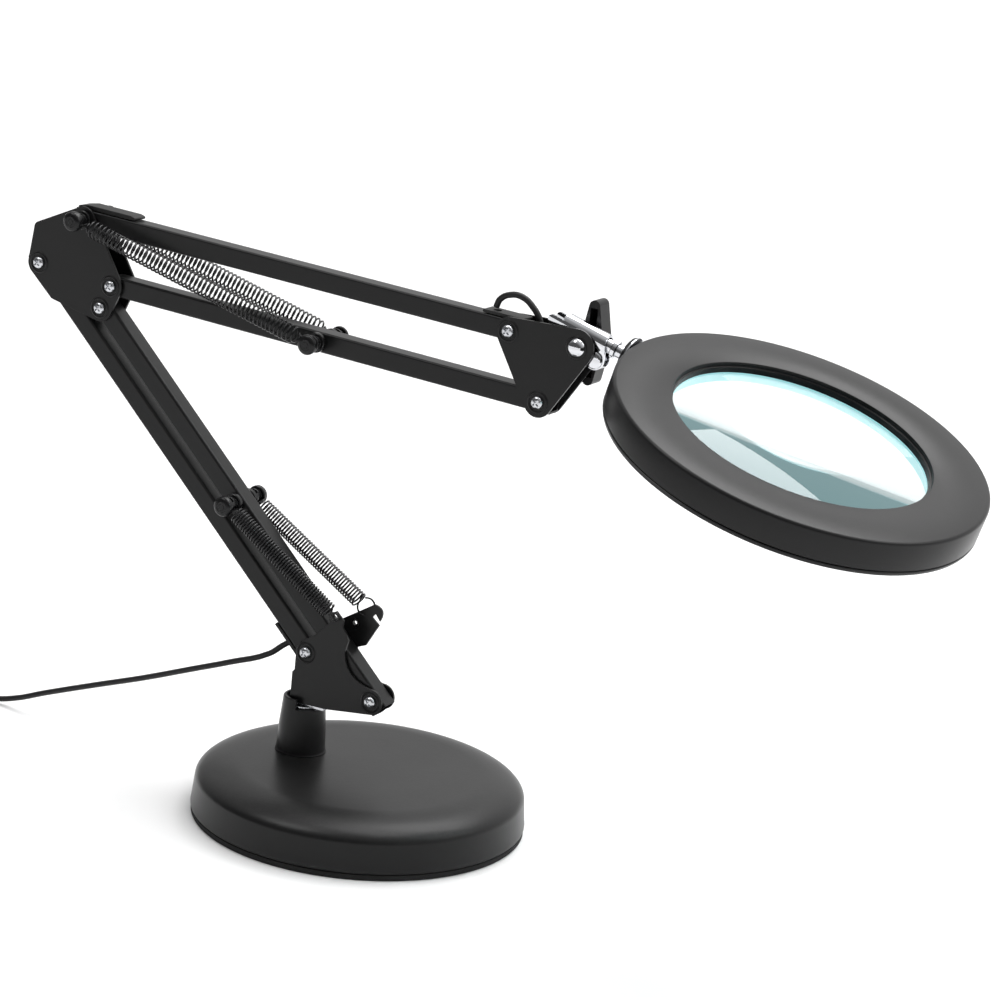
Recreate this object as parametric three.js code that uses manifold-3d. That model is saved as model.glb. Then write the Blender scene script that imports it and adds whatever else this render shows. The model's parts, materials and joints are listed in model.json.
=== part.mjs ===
// Desk magnifier lamp: round weighted base, two spring-balanced parallel
// arms of square tube, and a round lamp head with a lens. Millimetres, +Z up, +X forward.

import * as THREE from 'three';
import { mergeVertices } from 'three/addons/utils/BufferGeometryUtils.js';
import Module from 'manifold-3d';

const wasm = await Module();
wasm.setup();

const rad = THREE.MathUtils.degToRad;

// Driving dimensions. Places are [x, z] in the plane of the arms, from the swivel axis.
const GAP = 0.3;
const POST_OFFSET = 35.4;

const BASE_RADIUS = 82.3;
const BASE_TOP = 26.5;
const BASE_FLAT_RADIUS = 58;
const SHELL = 2;
const PAD_HEIGHT = 3;

const BOSS_TOP = 55;
const BOSS_FLOOR = 50;
const BOSS_FOOT_RADIUS = 12.2;
const BOSS_TOP_RADIUS = 10.4;
const BOSS_WELL_RADIUS = 8.9;
const NOTCH_X = 1.5;
const POST_RADIUS = 6;

const TUBE = 10;
const TUBE_WALL = 1;
const HALF = TUBE / 2;
const LOWER_LENGTH = 238;
const LOWER_ANGLE = 136.1;
const UPPER_LENGTH = 240;
const UPPER_ANGLE = -3.08;
const LINK_TAIL = 6;
const LINK_NOSE = 5.5;

const PLATE = 1.3;
const PLATE_IN = HALF + GAP;
const PLATE_OUT = PLATE_IN + PLATE;
const SHANK = 2;
const CLAMP_SHANK = 1.8;
const HOLE = SHANK + GAP;

const base_main = [2.5, 79];
const lower_step = [38, -16.5];
const elbow_step = [25, 25.6];
const upper_step = [18.5, -30.3];
const base_link = plus(base_main, lower_step);
const elbow_main = plus(base_main, along(LOWER_ANGLE, LOWER_LENGTH));
const elbow_link = plus(elbow_main, lower_step);
const upper_main = plus(elbow_main, elbow_step);
const upper_link = plus(upper_main, upper_step);
const head_main = plus(upper_main, along(UPPER_ANGLE, UPPER_LENGTH));
const head_link = plus(head_main, upper_step);
const tilt = plus(head_main, [35.4, -1.4]);

const LOWER_SPOOL_REACH = 118.9;
const UPPER_SPOOL_REACH = 120;
const lower_spool = plus(base_link, along(LOWER_ANGLE, LOWER_SPOOL_REACH));
const upper_spool = plus(upper_link, along(UPPER_ANGLE, UPPER_SPOOL_REACH));
const front_anchor = [18.5, 101.5];
const rear_anchor = [26, 105];

const NECK_ANGLE = 16.9;
const NECK_RISE = 6;
const COLLAR_START = 14.3;
const HEAD_TWIST = 6.1;
const HEAD_REACH = 112.5;
const HEAD_RADIUS = 88.2;
const HEAD_TOP = 8.6;
const HEAD_BOTTOM = -8.4;
const HEAD_SEAM = -5.8;
const LENS_OPENING = 60.9;

const CORD_RADIUS = 1.5;

// Materials.
function material(color, roughness, metalness) {
  return new THREE.MeshStandardMaterial({ color, roughness, metalness });
}

const black_paint = material(0x1b1b1d, 0.45, 0.2);
const black_plastic = material(0x161618, 0.4, 0);
const soft_black = material(0x202022, 0.8, 0);
const zinc = material(0xb9bcc0, 0.35, 0.9);
const chrome = material(0xdadde2, 0.12, 1);
const spring_steel = material(0x8d9094, 0.3, 0.95);
const cast_iron = material(0x3a3a3c, 0.8, 0.6);
const rubber = material(0x141414, 0.9, 0);
const glass = material(0xdfe8ea, 0.05, 0);
const white_plastic = material(0xe6eae8, 0.5, 0);
const board_white = material(0xf0f0ec, 0.6, 0);

// Small geometry helpers.
function plus(a, b) {
  return [a[0] + b[0], a[1] + b[1]];
}

function along(angle, length) {
  return [length * Math.cos(rad(angle)), length * Math.sin(rad(angle))];
}

function in_space(place, y) {
  return new THREE.Vector3(place[0], y, place[1]);
}

// A position-only copy whose shared vertices are merged and whose faces look outward.
function closed(geometry) {
  const bare = geometry.clone();
  bare.deleteAttribute('normal');
  bare.deleteAttribute('uv');
  const merged = mergeVertices(bare, 1e-4);
  const corners = merged.index.array;
  const positions = merged.attributes.position;
  const [a, b, c] = [new THREE.Vector3(), new THREE.Vector3(), new THREE.Vector3()];
  const kept = [];
  let volume = 0;
  for (let i = 0; i < corners.length; i += 3) {
    const [p, q, r] = corners.slice(i, i + 3);
    if (p === q || q === r || r === p) {
      continue;
    }
    kept.push(p, q, r);
    a.fromBufferAttribute(positions, p);
    b.fromBufferAttribute(positions, q);
    c.fromBufferAttribute(positions, r);
    volume += a.dot(b.cross(c));
  }
  merged.setIndex(volume < 0 ? kept.reverse() : kept);
  return merged;
}

function solid(geometry) {
  const source = closed(geometry);
  return new wasm.Manifold(new wasm.Mesh({
    numProp: 3,
    vertProperties: new Float32Array(source.attributes.position.array),
    triVerts: new Uint32Array(source.index.array),
  }));
}

function geometry_of(body) {
  const result = body.getMesh();
  const geometry = new THREE.BufferGeometry();
  geometry.setAttribute('position', new THREE.BufferAttribute(result.vertProperties, 3));
  geometry.setIndex(new THREE.BufferAttribute(result.triVerts, 1));
  return geometry;
}

function piece(parent, name, source, look) {
  const geometry = source instanceof THREE.BufferGeometry ? closed(source) : geometry_of(source);
  const mesh = new THREE.Mesh(geometry, look);
  mesh.name = name;
  parent.add(mesh);
  return mesh;
}

// A turned solid: profile points are [radius, height] along the named axis.
function turned(profile, axis = 'y', segments = 32) {
  const points = profile.map(([radius, height]) => new THREE.Vector2(radius, height));
  if (profile[0][0] > 0) {
    points.push(points[0].clone());
  }
  const geometry = new THREE.LatheGeometry(points, segments);
  if (axis === 'z') {
    geometry.rotateX(Math.PI / 2);
  }
  if (axis === 'x') {
    geometry.rotateZ(-Math.PI / 2);
  }
  return geometry;
}

function rod(start, end, radius, segments = 12) {
  const span = end.clone().sub(start);
  const geometry = new THREE.CylinderGeometry(radius, radius, span.length(), segments);
  const turn = new THREE.Quaternion();
  turn.setFromUnitVectors(new THREE.Vector3(0, 1, 0), span.clone().normalize());
  geometry.applyQuaternion(turn);
  const middle = start.clone().add(end).multiplyScalar(0.5);
  return geometry.translate(middle.x, middle.y, middle.z);
}

function block(low, high) {
  const size = high.map((value, i) => value - low[i]);
  const geometry = new THREE.BoxGeometry(...size);
  return geometry.translate(...high.map((value, i) => (value + low[i]) / 2));
}

function cross_drill(place, radius) {
  return solid(rod(in_space(place, -20), in_space(place, 20), radius, 16));
}

// The outline of a belt pulled tight round circles [x, z, radius], listed anticlockwise.
function belt(circles) {
  const shape = new THREE.Shape();
  const leave = circles.map(([x, z, r], i) => {
    const [next_x, next_z, next_r] = circles[(i + 1) % circles.length];
    const [dx, dz] = [next_x - x, next_z - z];
    return Math.atan2(dz, dx) - Math.acos((r - next_r) / Math.hypot(dx, dz));
  });
  circles.forEach(([x, z, r], i) => {
    const arrive = leave[(i + circles.length - 1) % circles.length];
    shape.absarc(x, z, r, arrive, leave[i], false);
  });
  return shape;
}

// A shape drawn in x and z, given thickness along Y from the plane y = start.
function slab(shape, start, thickness) {
  const geometry = new THREE.ExtrudeGeometry(shape, {
    depth: thickness, bevelEnabled: false, curveSegments: 6,
  });
  return geometry.rotateX(Math.PI / 2).translate(0, start + thickness, 0);
}

function drilled_plate(shape, side, holes) {
  const start = side < 0 ? -PLATE_OUT : PLATE_IN;
  let body = solid(slab(shape, start, PLATE));
  for (const [x, z, radius] of holes) {
    body = body.subtract(cross_drill([x, z], radius));
  }
  return body;
}

function rounded_square(half, corner) {
  const shape = new THREE.Shape();
  const inner = half - corner;
  shape.absarc(inner, inner, corner, 0, Math.PI / 2, false);
  shape.absarc(-inner, inner, corner, Math.PI / 2, Math.PI, false);
  shape.absarc(-inner, -inner, corner, Math.PI, Math.PI * 1.5, false);
  shape.absarc(inner, -inner, corner, Math.PI * 1.5, Math.PI * 2, false);
  return shape;
}

// A square tube along X with cross holes at the given stations. An end whose overhang
// is zero is rounded off about the hole that it carries.
function square_tube(length, tail, nose, stations) {
  const start = tail === 0 ? -HALF : -tail;
  const far = length + (nose === 0 ? HALF : nose);
  const section = rounded_square(HALF, 1.2);
  section.holes.push(rounded_square(HALF - TUBE_WALL, 0.4));
  const long = new THREE.ExtrudeGeometry(section, {
    depth: far - start, bevelEnabled: false, curveSegments: 2,
  });
  let body = solid(long.rotateY(Math.PI / 2).translate(start, 0, 0));
  const rounded = belt([
    [tail === 0 ? 0 : start, 0, HALF + 0.01],
    [nose === 0 ? length : far, 0, HALF + 0.01],
  ]);
  body = body.intersect(solid(slab(rounded, -TUBE, 2 * TUBE)));
  for (const station of stations) {
    body = body.subtract(cross_drill([station, 0], HOLE));
  }
  return body;
}

function tube_group(parent, place, angle) {
  const group = new THREE.Group();
  group.position.copy(in_space(place, 0));
  group.rotation.y = -rad(angle);
  parent.add(group);
  return group;
}

// A pivot screw with its locknut, head to the front.
function pivot_screw(head_from) {
  const screw = turned([
    [0, -head_from - 2.4], [2.6, -head_from - 2.4], [3.5, -head_from - 1.7],
    [3.5, -head_from], [SHANK, -head_from], [SHANK, head_from + 5], [0, head_from + 5],
  ], 'y', 20);
  const nut = new THREE.CylinderGeometry(3.9, 3.9, 3.2, 6).translate(0, head_from + 1.6, 0);
  return solid(screw).add(solid(nut));
}

function spring_spool(side, seat, groove, cap, face) {
  const profile = [
    [HOLE, seat], [4.9, seat], [4.9, groove], [3.2, groove], [3.2, cap], [4.9, cap],
    [4.9, face - 0.8], [4.2, face - 0.1], [0, face], [0, face - 1.6], [HOLE, face - 1.6],
    [HOLE, seat],
  ];
  return turned(profile.map(([radius, height]) => [radius, side * height]), 'y', 16);
}

// An extension spring as its outer shape: a coil barrel, two necks and two end loops.
function spring_barrel(start, end, radius, start_gap, end_gap) {
  const direction = end.clone().sub(start).normalize();
  const coil_start = start.clone().addScaledVector(direction, start_gap);
  const coil_end = end.clone().addScaledVector(direction, -end_gap);
  const neck_start = start.clone().addScaledVector(direction, 4);
  const neck_end = end.clone().addScaledVector(direction, -4);
  const loop = [[3.6, -0.5], [4.6, -0.5], [4.6, 0.5], [3.6, 0.5]];
  let body = solid(rod(coil_start, coil_end, radius, 14));
  body = body.add(solid(rod(neck_start, neck_end, 0.8, 8)));
  for (const eye of [start, end]) {
    body = body.add(solid(turned(loop, 'y', 14).translate(eye.x, eye.y, eye.z)));
  }
  return body;
}

function cord_tube(points, steps) {
  const path = new THREE.CatmullRomCurve3(points.map((point) => new THREE.Vector3(...point)));
  const section = new THREE.Shape();
  for (let i = 0; i < 8; i += 1) {
    const corner = [CORD_RADIUS * Math.cos(i * Math.PI / 4), CORD_RADIUS * Math.sin(i * Math.PI / 4)];
    if (i === 0) {
      section.moveTo(...corner);
    } else {
      section.lineTo(...corner);
    }
  }
  return new THREE.ExtrudeGeometry(section, { steps, bevelEnabled: false, extrudePath: path });
}

const lamp = new THREE.Group();
lamp.position.x = -POST_OFFSET;

// Base: pad, iron weight, domed cover and the socket that the arm swivels in.
function build_base() {
  const base = new THREE.Group();
  base.position.x = POST_OFFSET;
  lamp.add(base);
  const post = [-POST_OFFSET, 0];
  const hole = (radius) => solid(rod(
    new THREE.Vector3(post[0], 0, -10), new THREE.Vector3(post[0], 0, 90), radius, 24,
  ));

  const foot = PAD_HEIGHT + GAP;
  const shoulder = (grow, drop) => {
    const points = [];
    const wide = BASE_RADIUS - 1.3 - BASE_FLAT_RADIUS;
    for (let i = 0; i <= 5; i += 1) {
      const turn = (i / 5) * Math.PI / 2;
      points.push([
        BASE_FLAT_RADIUS + (wide - grow) * Math.sin(turn),
        BASE_TOP - drop - (9.5 - drop / 4) * (1 - Math.cos(turn)),
      ]);
    }
    return points;
  };
  const cover = turned([
    [0, BASE_TOP], ...shoulder(0, 0), [BASE_RADIUS, foot], [BASE_RADIUS - SHELL, foot],
    ...shoulder(SHELL, SHELL).reverse(), [0, BASE_TOP - SHELL],
  ], 'z', 40);
  piece(base, 'base_cover', solid(cover).subtract(hole(8.3)), black_paint);

  const weight = turned([[0, foot], [76, foot], [76, 15], [72, 17.5], [0, 17.5]], 'z', 40);
  piece(base, 'base_weight', solid(weight).subtract(hole(16)), cast_iron);
  const pad = turned([[0, 0], [BASE_RADIUS - 0.4, 0], [BASE_RADIUS, PAD_HEIGHT], [0, PAD_HEIGHT]], 'z', 40);
  piece(base, 'base_pad', pad, rubber);

  const boss_foot = BASE_TOP + GAP;
  const boss = turned([
    [0, 14], [8, 14], [8, boss_foot], [BOSS_FOOT_RADIUS + 0.6, boss_foot],
    [BOSS_FOOT_RADIUS, boss_foot + 0.9], [BOSS_FOOT_RADIUS - 0.6, boss_foot + 14],
    [BOSS_TOP_RADIUS, BOSS_TOP - 0.6], [BOSS_TOP_RADIUS - 0.6, BOSS_TOP], [0, BOSS_TOP],
  ], 'z', 40);
  const well = solid(rod(
    new THREE.Vector3(0, 0, BOSS_FLOOR), new THREE.Vector3(0, 0, BOSS_TOP + 5), BOSS_WELL_RADIUS, 24,
  ));
  const bore = solid(rod(
    new THREE.Vector3(0, 0, 0), new THREE.Vector3(0, 0, 90), POST_RADIUS + GAP, 24,
  ));
  const notch = solid(block([NOTCH_X, -30, BOSS_FLOOR], [30, 30, BOSS_TOP + 5]));
  piece(lamp, 'post_socket', solid(boss).subtract(well).subtract(bore).subtract(notch), black_plastic);
  const nut = new THREE.CylinderGeometry(13, 13, 4.5, 6).rotateX(Math.PI / 2).translate(0, 0, 21.6);
  const nut_bore = solid(rod(new THREE.Vector3(0, 0, 0), new THREE.Vector3(0, 0, 40), 8.3, 24));
  piece(lamp, 'socket_nut', solid(nut).subtract(nut_bore), zinc);
}

// Swivelling post and the two base bracket plates on it.
function build_base_bracket() {
  const collar = turned([
    [0, 14.5], [POST_RADIUS - 0.6, 14.5], [POST_RADIUS, 15.2], [POST_RADIUS, BOSS_FLOOR + GAP],
    [8.3, BOSS_FLOOR + GAP], [8.3, BOSS_FLOOR + 1.2], [0, BOSS_FLOOR + 1.2],
  ], 'z', 32);
  const shoulder = solid(block([-4, -HALF, BOSS_FLOOR + 1], [14, HALF, 66]));
  piece(lamp, 'swivel_post', solid(collar).add(shoulder), zinc);

  const [ex, ez] = base_main;
  const [fx, fz] = base_link;
  const lower_edge = (shape) => {
    shape.moveTo(-4.4, 54.5);
    shape.quadraticCurveTo(-4.4, 52.5, -2.4, 52.5);
    shape.lineTo(16, 52.9);
    shape.absarc(fx, fz, 6.4, rad(-80), rad(95), false);
    shape.quadraticCurveTo(25.4, 71.3, 24, 84);
  };
  const upper_left_edge = (shape) => {
    shape.lineTo(8.7, 90.7);
    shape.lineTo(-0.6, 83.8);
    shape.absarc(ex, ez, 6, rad(122), rad(200), false);
    shape.lineTo(-3.2, 69.1);
    shape.lineTo(-4.4, 67.6);
  };
  const front = new THREE.Shape();
  lower_edge(front);
  front.lineTo(25.7, 90.5);
  front.lineTo(21.8, 96.5);
  front.lineTo(22.2, 99.6);
  front.lineTo(17.7, 103.6);
  front.lineTo(13.2, 101.2);
  front.lineTo(14.4, 97.2);
  upper_left_edge(front);
  const eyelet_place = [21.7, 95.9];
  const pivot_holes = [[...base_main, HOLE], [...base_link, HOLE]];
  const front_holes = [...pivot_holes, [17.4, 100.8, 1.2]];
  piece(lamp, 'base_bracket_front', drilled_plate(front, -1, front_holes), black_paint);

  const rear = new THREE.Shape();
  lower_edge(rear);
  rear.lineTo(28.8, 86);
  rear.lineTo(35.2, 97.5);
  rear.lineTo(31, 100.8);
  rear.lineTo(32.8, 103);
  rear.lineTo(35.5, 99.6);
  rear.quadraticCurveTo(39, 106.5, 31.7, 107.6);
  rear.lineTo(14, 96.2);
  upper_left_edge(rear);
  const rear_holes = [...pivot_holes, [...eyelet_place, HOLE]];
  piece(lamp, 'base_bracket_rear', drilled_plate(rear, 1, rear_holes), black_paint);

  const face = PLATE_OUT + GAP;
  const eyelet = turned([
    [1.1, PLATE_IN], [SHANK, PLATE_IN], [SHANK, face], [3, face], [3, face + 0.7], [1.1, face + 0.7],
  ], 'y', 20);
  piece(lamp, 'bracket_eyelet', eyelet, black_paint).position.copy(in_space(eyelet_place, 0));
  for (const [name, place] of [['base_main_pivot', base_main], ['base_link_pivot', base_link]]) {
    piece(lamp, name, pivot_screw(PLATE_OUT + GAP), zinc).position.copy(in_space(place, 0));
  }
}

// Lower arm: main tube with its cable and outlet, and the link tube below it.
function build_lower_arm() {
  const main = tube_group(lamp, base_main, LOWER_ANGLE);
  const outlet_at = 9;
  let tube = square_tube(LOWER_LENGTH, 0, 7, [0, LOWER_LENGTH]);
  const side_hole = solid(rod(
    new THREE.Vector3(outlet_at, 0, 0), new THREE.Vector3(outlet_at, 0, 20), 2.4, 16,
  ));
  tube = tube.subtract(side_hole);
  piece(main, 'lower_main_tube', tube, black_paint);
  const saddle = solid(block([2, -4.9, HALF + GAP], [21, 4.9, HALF + 1.8]));
  piece(main, 'cable_outlet', saddle.subtract(side_hole), soft_black);
  const inside = rod(new THREE.Vector3(13, 0, 0), new THREE.Vector3(LOWER_LENGTH - 6, 0, 0), CORD_RADIUS, 8);
  piece(main, 'lower_cable', inside, soft_black);

  const link = tube_group(lamp, base_link, LOWER_ANGLE);
  const stations = [0, LOWER_SPOOL_REACH, LOWER_LENGTH];
  piece(link, 'lower_link_tube', square_tube(LOWER_LENGTH, LINK_TAIL, 0, stations), black_paint);
  const pin = rod(in_space(lower_spool, -16), in_space(lower_spool, 16), SHANK, 16);
  piece(lamp, 'lower_spring_pin', pin, zinc);
  for (const [name, side, anchor, y] of [['front', -1, front_anchor, -9], ['rear', 1, rear_anchor, 9]]) {
    const spool = spring_spool(side, PLATE_IN, 8, 14, 17.9);
    piece(lamp, `lower_spool_${name}`, spool, black_plastic).position.copy(in_space(lower_spool, 0));
    const start = in_space(lower_spool, side * 11.5);
    const spring = spring_barrel(start, in_space(anchor, y), 4.4, 7.5, 6);
    piece(lamp, `lower_spring_${name}`, spring, spring_steel);
  }
}

// Elbow: two plates that stay level, their pivots, and the spools of the upper springs.
function build_elbow() {
  const outline = belt([
    [...elbow_main, 6.8], [-159.5, 229, 2], [...elbow_link, 6.8], [...upper_link, 6.6],
    [...upper_main, 6.6], [-170, 261.5, 3.2],
  ]);
  const holes = [elbow_main, elbow_link, upper_link, upper_main].map((place) => [...place, HOLE]);
  piece(lamp, 'elbow_plate_front', drilled_plate(outline, -1, holes), black_paint);
  piece(lamp, 'elbow_plate_rear', drilled_plate(outline, 1, holes), black_paint);
  const pivots = [
    ['elbow_main_pivot', elbow_main], ['elbow_link_pivot', elbow_link], ['upper_link_pivot', upper_link],
  ];
  for (const [name, place] of pivots) {
    piece(lamp, name, pivot_screw(PLATE_OUT + GAP), zinc).position.copy(in_space(place, 0));
  }
  const pin = rod(in_space(upper_main, -13.4), in_space(upper_main, 13.4), SHANK, 16);
  piece(lamp, 'elbow_spring_pin', pin, zinc);
  for (const [name, side] of [['front', -1], ['rear', 1]]) {
    const spool = spring_spool(side, PLATE_OUT + GAP, 8.2, 13.2, 17.6);
    piece(lamp, `elbow_spool_${name}`, spool, black_plastic).position.copy(in_space(upper_main, 0));
  }
}

// Upper arm: main tube with its cable, covers and springs, and the link tube below it.
function build_upper_arm() {
  const main = tube_group(lamp, upper_main, UPPER_ANGLE);
  piece(main, 'upper_main_tube', square_tube(UPPER_LENGTH, 6, 8, [0, UPPER_LENGTH]), black_paint);
  const lift = HALF + GAP;
  const cover = belt([
    [-4.5, lift + 0.5, 0.5], [28, lift + 0.9, 0.8], [26, lift + 1.4, 0.8], [1, lift + 1.5, 0.7],
  ]);
  piece(main, 'elbow_cable_cover', solid(slab(cover, -4.7, 9.4)), soft_black);
  const strip = belt([
    [225, lift + 0.6, 0.55], [245.5, lift + 0.6, 0.55], [245.5, lift + 1, 0.55], [225, lift + 1, 0.55],
  ]);
  const cable_hole = solid(rod(new THREE.Vector3(230, 0, 0), new THREE.Vector3(230, 0, 20), 1.9, 12));
  piece(main, 'cable_grommet', solid(slab(strip, -4.7, 9.4)).subtract(cable_hole), soft_black);
  const inside = rod(new THREE.Vector3(6, 0, 0), new THREE.Vector3(UPPER_LENGTH - 6, 0, 0), CORD_RADIUS, 8);
  piece(main, 'upper_cable', inside, soft_black);
  const loop = cord_tube([
    [85, 0, 265.4], [86.8, 0, 269.4], [92.6, 0, 272.4], [98.4, 0, 272.1], [103.8, 0, 268.6],
    [108, 0, 263.1], [109.2, 0, 257], [108.8, 0, 250],
  ], 30);
  piece(lamp, 'head_cable', loop, soft_black);

  const link = tube_group(lamp, upper_link, UPPER_ANGLE);
  const stations = [0, UPPER_SPOOL_REACH, UPPER_LENGTH];
  piece(link, 'upper_link_tube', square_tube(UPPER_LENGTH, 0, LINK_NOSE, stations), black_paint);
  const pin = rod(in_space(upper_spool, -15), in_space(upper_spool, 15), SHANK, 16);
  piece(lamp, 'upper_spring_pin', pin, zinc);
  for (const [name, side] of [['front', -1], ['rear', 1]]) {
    const spool = spring_spool(side, PLATE_IN, 8, 14, 17);
    piece(lamp, `upper_spool_${name}`, spool, black_plastic).position.copy(in_space(upper_spool, 0));
    const start = in_space(upper_main, side * 12);
    const spring = spring_barrel(start, in_space(upper_spool, side * 11.5), 4.7, 9, 9);
    piece(lamp, `upper_spring_${name}`, spring, spring_steel);
  }
}

// Head bracket: two plates, their pivots, the tilt bolt and its wing nut.
function build_head_bracket() {
  const outline = belt([[...head_link, 7.2], [...tilt, 8.6], [...head_main, 6.6]]);
  const holes = [[...head_main, HOLE], [...head_link, HOLE], [...tilt, 2.2 + GAP]];
  piece(lamp, 'head_plate_front', drilled_plate(outline, -1, holes), black_paint);
  piece(lamp, 'head_plate_rear', drilled_plate(outline, 1, holes), black_paint);
  for (const [name, place] of [['head_main_pivot', head_main], ['head_link_pivot', head_link]]) {
    piece(lamp, name, pivot_screw(PLATE_OUT + GAP), zinc).position.copy(in_space(place, 0));
  }
  const seat = PLATE_OUT + GAP;
  const bolt = turned([
    [0, -seat - 2.6], [2, -seat - 2.4], [3.7, -seat - 1.5], [4.6, -seat],
    [2.2, -seat], [2.2, 15.5], [0, 15.5],
  ], 'y', 24);
  piece(lamp, 'tilt_bolt', bolt, chrome).position.copy(in_space(tilt, 0));

  const hub = turned([[0, seat], [5.6, seat], [5.6, 13], [4.6, 16.6], [0, 16.6]], 'y', 24);
  const wing = belt([[0, -17.2, 2.8], [4, 0, 2], [0, 17.2, 2.8], [-4, 0, 2]]);
  let nut = solid(hub).add(solid(slab(wing, 8.4, 9.6)));
  for (const end of [-1, 1]) {
    const middle = end * 12;
    const hollow = block([-1.9, 8, middle - 4.2], [1.9, 15.6, middle + 4.2]);
    nut = nut.subtract(solid(hollow));
  }
  nut = nut.subtract(cross_drill([0, 0], 2.2 + GAP));
  piece(lamp, 'wing_nut', nut, black_plastic).position.copy(in_space(tilt, 0));
}

// Head joint and head: the yoke tilts on the bolt, the neck and head twist in the yoke.
function build_head() {
  const neck = new THREE.Group();
  neck.position.copy(in_space(tilt, 0));
  neck.rotation.y = rad(NECK_ANGLE);
  lamp.add(neck);

  const clamp = [9.2, -2.2];
  const fold = 3.9;
  const leg_out = 3.6;
  const leg_in = 2.5;
  const meet_out = Math.acos(leg_out / HALF);
  const meet_in = Math.acos(leg_in / fold);
  const channel = new THREE.Shape();
  channel.moveTo(-leg_out, -8);
  channel.lineTo(-leg_in, -8);
  channel.absarc(0, NECK_RISE, fold, Math.PI + meet_in, -meet_in, true);
  channel.lineTo(leg_in, -8);
  channel.lineTo(leg_out, -8);
  channel.absarc(0, NECK_RISE, HALF, -meet_out, Math.PI + meet_out, false);
  const bent = new THREE.ExtrudeGeometry(channel, { depth: 44, bevelEnabled: false, curveSegments: 8 });
  bent.rotateX(Math.PI / 2).rotateZ(Math.PI / 2).translate(-22, 0, 0);
  const side = belt([[0, 0, 6], [...clamp, 4.6], [9.5, 9.5, 1.5], [-10.5, 9.5, 1.5]]);
  const prong = belt([[-17, 5.9, 2.1], [-8, 5.9, 2.1]]);
  const silhouette = solid(slab(side, -TUBE, 2 * TUBE)).add(solid(slab(prong, -TUBE, 2 * TUBE)));
  let yoke = solid(bent).intersect(silhouette);
  yoke = yoke.subtract(cross_drill([0, 0], 2.2 + GAP)).subtract(cross_drill(clamp, CLAMP_SHANK + GAP));
  piece(neck, 'neck_yoke', yoke, chrome);
  const seat = leg_out + 0.2;
  const clamp_screw = turned([
    [0, -seat - 1.3], [2.9, -seat - 1.2], [3.9, -seat - 0.8], [4.1, -seat], [CLAMP_SHANK, -seat],
    [CLAMP_SHANK, HALF], [0, HALF],
  ], 'y', 20);
  piece(neck, 'yoke_screw', clamp_screw, chrome).position.set(clamp[0], 0, clamp[1]);

  const head = new THREE.Group();
  head.position.z = NECK_RISE;
  head.rotation.x = rad(HEAD_TWIST);
  neck.add(head);
  const rim = HEAD_REACH - HEAD_RADIUS;
  const stem = turned([
    [1.9, -6], [3.3, -6], [3.3, COLLAR_START], [4.4, COLLAR_START + 0.3], [4.4, COLLAR_START + 2.5],
    [3.3, COLLAR_START + 2.8], [3.3, rim + 5], [1.9, rim + 5],
  ], 'x', 24);
  piece(head, 'neck_stem', stem, chrome);
  const stem_bore = solid(rod(new THREE.Vector3(-10, 0, 0), new THREE.Vector3(40, 0, 0), 3.3 + GAP, 24));
  const flange = turned([
    [3.3 + GAP, rim - 2.9], [8.7, rim - 2.9], [9.5, rim - 2.2], [9.9, rim - 1], [9.9, rim - GAP],
    [3.3 + GAP, rim - GAP],
  ], 'x', 32);
  piece(head, 'neck_flange', flange, black_plastic);

  const disc = new THREE.Group();
  disc.position.x = HEAD_REACH;
  head.add(disc);
  const rim_bore = stem_bore.translate([-HEAD_REACH, 0, 0]);
  const inner = HEAD_RADIUS - SHELL;
  const top = turned([
    [HEAD_RADIUS, HEAD_SEAM], [HEAD_RADIUS, HEAD_TOP - 1.3], [HEAD_RADIUS - 1.3, HEAD_TOP],
    [LENS_OPENING, HEAD_TOP], [LENS_OPENING, HEAD_TOP - 2], [LENS_OPENING - 0.9, HEAD_TOP - 2],
    [LENS_OPENING - 0.9, 3.5], [62.1, 3.5], [62.1, -0.3], [63.8, -0.3], [63.8, HEAD_TOP - SHELL],
    [inner, HEAD_TOP - SHELL], [inner, HEAD_SEAM],
  ], 'z', 44);
  piece(disc, 'head_top', solid(top).subtract(rim_bore), black_plastic);
  const bottom = turned([
    [HEAD_RADIUS, HEAD_SEAM - GAP], [HEAD_RADIUS, HEAD_BOTTOM + 1.2], [HEAD_RADIUS - 1.2, HEAD_BOTTOM],
    [83.5, HEAD_BOTTOM], [83.5, HEAD_BOTTOM + 1.5], [inner, HEAD_BOTTOM + 1.5],
    [inner, HEAD_SEAM - GAP],
  ], 'z', 44);
  piece(disc, 'head_bottom', bottom, black_plastic);
  const ring = turned([
    [60, 0.3], [61.8, 0.3], [61.8, -0.6], [63.8, -0.6], [63.8, HEAD_BOTTOM + 1.5],
    [66.5, HEAD_BOTTOM + 1.5], [66.5, HEAD_BOTTOM], [60, HEAD_BOTTOM],
  ], 'z', 44);
  piece(disc, 'lens_ring', ring, black_plastic);
  const diffuser = turned([[64.2, -6.6], [85.8, -6.6], [85.8, -5.2], [64.2, -5.2]], 'z', 44);
  piece(disc, 'led_diffuser', diffuser, white_plastic);
  const board = turned([[66, 4.7], [84, 4.7], [84, 6.3], [66, 6.3]], 'z', 44);
  piece(disc, 'led_board', board, board_white);

  const lens_profile = [];
  const lens_edge = 61.8;
  const bulge = 4.2;
  for (let i = 0; i <= 5; i += 1) {
    const radius = lens_edge * (i / 5);
    lens_profile.push([radius, 3.2 + bulge * (1 - (i / 5) ** 2)]);
  }
  for (let i = 5; i >= 0; i -= 1) {
    const radius = lens_edge * (i / 5);
    lens_profile.push([radius, 0.6 - bulge * (1 - (i / 5) ** 2)]);
  }
  piece(disc, 'lens', turned(lens_profile, 'z', 44), glass);
}

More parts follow.
